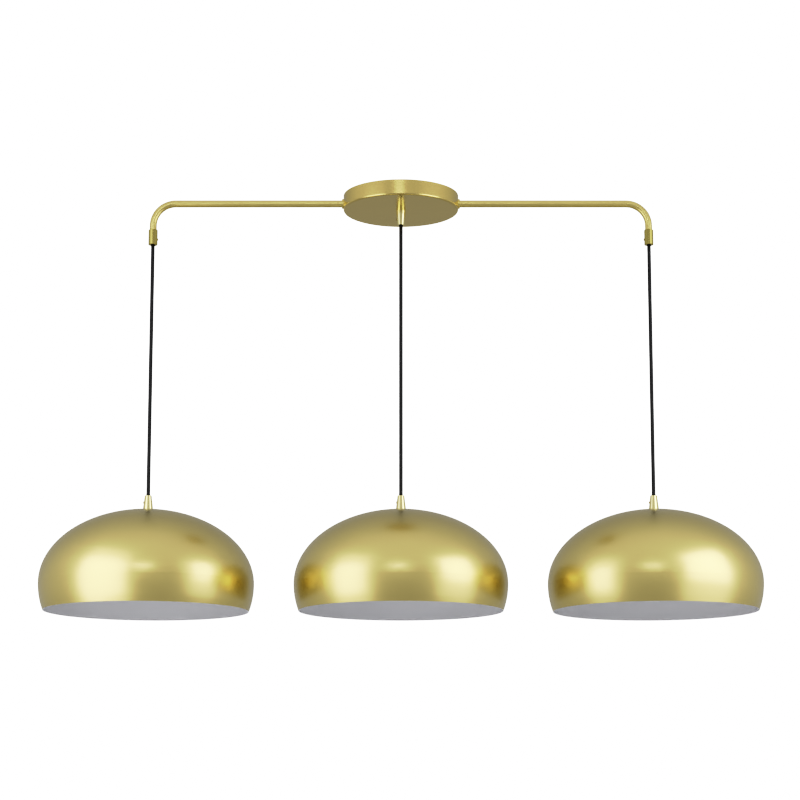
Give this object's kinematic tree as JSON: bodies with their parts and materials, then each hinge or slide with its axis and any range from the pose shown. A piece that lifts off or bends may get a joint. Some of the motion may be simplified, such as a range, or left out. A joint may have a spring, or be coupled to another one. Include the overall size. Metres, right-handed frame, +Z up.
{
  "type": "linear island pendant",
  "caption": "Linear island pendant: a round canopy, two bent side arms and brass dome shades hung in a row on black cords, each free to swing, turn and be set in height.",
  "frame": {"origin": "centre of the canopy on the ceiling plane", "axes": "+X along the row of shades to the viewer's right, +Y away from the viewer, +Z up into the ceiling"},
  "size_m": [1.011, 0.3, 0.5985],
  "materials": {
    "satin_brass": "satin brushed brass, lacquered",
    "polished_brass": "polished pale brass",
    "zinc_steel": "zinc plated",
    "screw_steel": "brass plated, matt",
    "green_screw": "green dyed zinc",
    "black_cord": "matt black jacket",
    "black_rubber": "matt black rubber",
    "connector_plastic": "orange moulded",
    "live_insulation": "black",
    "neutral_insulation": "white",
    "ground_insulation": "green",
    "phenolic": "black moulded"
  },
  "bodies": {
    "fixed_frame": {"canopy_shell": "satin_brass", "crossbar": "zinc_steel", "crossbar_nuts": "zinc_steel", "ground_screw": "green_screw", "ground_terminal": "zinc_steel", "centre_nipple": "zinc_steel", "centre_grip": "polished_brass", "centre_grip_screw": "screw_steel", "centre_cord_tail": "black_cord", "arm_left": "satin_brass", "arm_right": "satin_brass", "arm_collars": "satin_brass", "arm_washers": "zinc_steel", "arm_locknuts": "zinc_steel", "arm_ferrule_left": "satin_brass", "arm_ferrule_right": "satin_brass", "ferrule_screws": "screw_steel", "arm_cord_left": "black_cord", "arm_cord_right": "black_cord", "wire_connectors": "connector_plastic", "live_wires": "live_insulation", "neutral_wires": "neutral_insulation", "ground_wires": "ground_insulation"},
    "bend_left": {"swing_bush_left": "black_rubber"},
    "hanging_cord_left": {"cord_left": "black_cord"},
    "cord_end_left": {"cord_bush_left": "black_rubber"},
    "pendant_left": {"shade_grip_left": "polished_brass", "grip_screw_left": "screw_steel", "shade_nipple_left": "zinc_steel", "shade_left": "satin_brass", "shade_nut_left": "zinc_steel", "socket_cap_left": "polished_brass", "socket_body_left": "phenolic", "socket_shell_left": "polished_brass", "socket_contact_left": "polished_brass"},
    "bend_centre": {"swing_bush_centre": "black_rubber"},
    "hanging_cord_centre": {"cord_centre": "black_cord"},
    "cord_end_centre": {"cord_bush_centre": "black_rubber"},
    "pendant_centre": {"shade_grip_centre": "polished_brass", "grip_screw_centre": "screw_steel", "shade_nipple_centre": "zinc_steel", "shade_centre": "satin_brass", "shade_nut_centre": "zinc_steel", "socket_cap_centre": "polished_brass", "socket_body_centre": "phenolic", "socket_shell_centre": "polished_brass", "socket_contact_centre": "polished_brass"},
    "bend_right": {"swing_bush_right": "black_rubber"},
    "hanging_cord_right": {"cord_right": "black_cord"},
    "cord_end_right": {"cord_bush_right": "black_rubber"},
    "pendant_right": {"shade_grip_right": "polished_brass", "grip_screw_right": "screw_steel", "shade_nipple_right": "zinc_steel", "shade_right": "satin_brass", "shade_nut_right": "zinc_steel", "socket_cap_right": "polished_brass", "socket_body_right": "phenolic", "socket_shell_right": "polished_brass", "socket_contact_right": "polished_brass"}
  },
  "joints": [
    {"name": "swing_fore_aft_left", "type": "hinge", "parent": "fixed_frame", "child": "bend_left", "pos_m": [-0.3555, 0, -0.0717], "axis": [1, 0, 0], "range_deg": [-20, 20]},
    {"name": "swing_sideways_left", "type": "hinge", "parent": "bend_left", "child": "hanging_cord_left", "pos_m": [-0.3555, 0, -0.0717], "axis": [0, 1, 0], "range_deg": [-5, 20]},
    {"name": "height_left", "type": "slide", "parent": "hanging_cord_left", "child": "cord_end_left", "axis": [0, 0, 1], "range_m": [0, 0.25], "deforming": ["cord_left"]},
    {"name": "twist_left", "type": "hinge", "parent": "cord_end_left", "child": "pendant_left", "pos_m": [-0.3555, 0, -0.43556], "axis": [0, 0, 1], "range_deg": [-180, 180], "stiffness_Nm_per_rad": 0.002},
    {"name": "swing_fore_aft_centre", "type": "hinge", "parent": "fixed_frame", "child": "bend_centre", "pos_m": [0, 0, -0.0422], "axis": [1, 0, 0], "range_deg": [-20, 20]},
    {"name": "swing_sideways_centre", "type": "hinge", "parent": "bend_centre", "child": "hanging_cord_centre", "pos_m": [0, 0, -0.0422], "axis": [0, 1, 0], "range_deg": [-5, 5]},
    {"name": "height_centre", "type": "slide", "parent": "hanging_cord_centre", "child": "cord_end_centre", "axis": [0, 0, 1], "range_m": [0, 0.25], "deforming": ["cord_centre"]},
    {"name": "twist_centre", "type": "hinge", "parent": "cord_end_centre", "child": "pendant_centre", "pos_m": [0, 0, -0.43556], "axis": [0, 0, 1], "range_deg": [-180, 180], "stiffness_Nm_per_rad": 0.002},
    {"name": "swing_fore_aft_right", "type": "hinge", "parent": "fixed_frame", "child": "bend_right", "pos_m": [0.3555, 0, -0.0717], "axis": [1, 0, 0], "range_deg": [-20, 20]},
    {"name": "swing_sideways_right", "type": "hinge", "parent": "bend_right", "child": "hanging_cord_right", "pos_m": [0.3555, 0, -0.0717], "axis": [0, 1, 0], "range_deg": [-20, 5]},
    {"name": "height_right", "type": "slide", "parent": "hanging_cord_right", "child": "cord_end_right", "axis": [0, 0, 1], "range_m": [0, 0.25], "deforming": ["cord_right"]},
    {"name": "twist_right", "type": "hinge", "parent": "cord_end_right", "child": "pendant_right", "pos_m": [0.3555, 0, -0.43556], "axis": [0, 0, 1], "range_deg": [-180, 180], "stiffness_Nm_per_rad": 0.002}
  ]
}
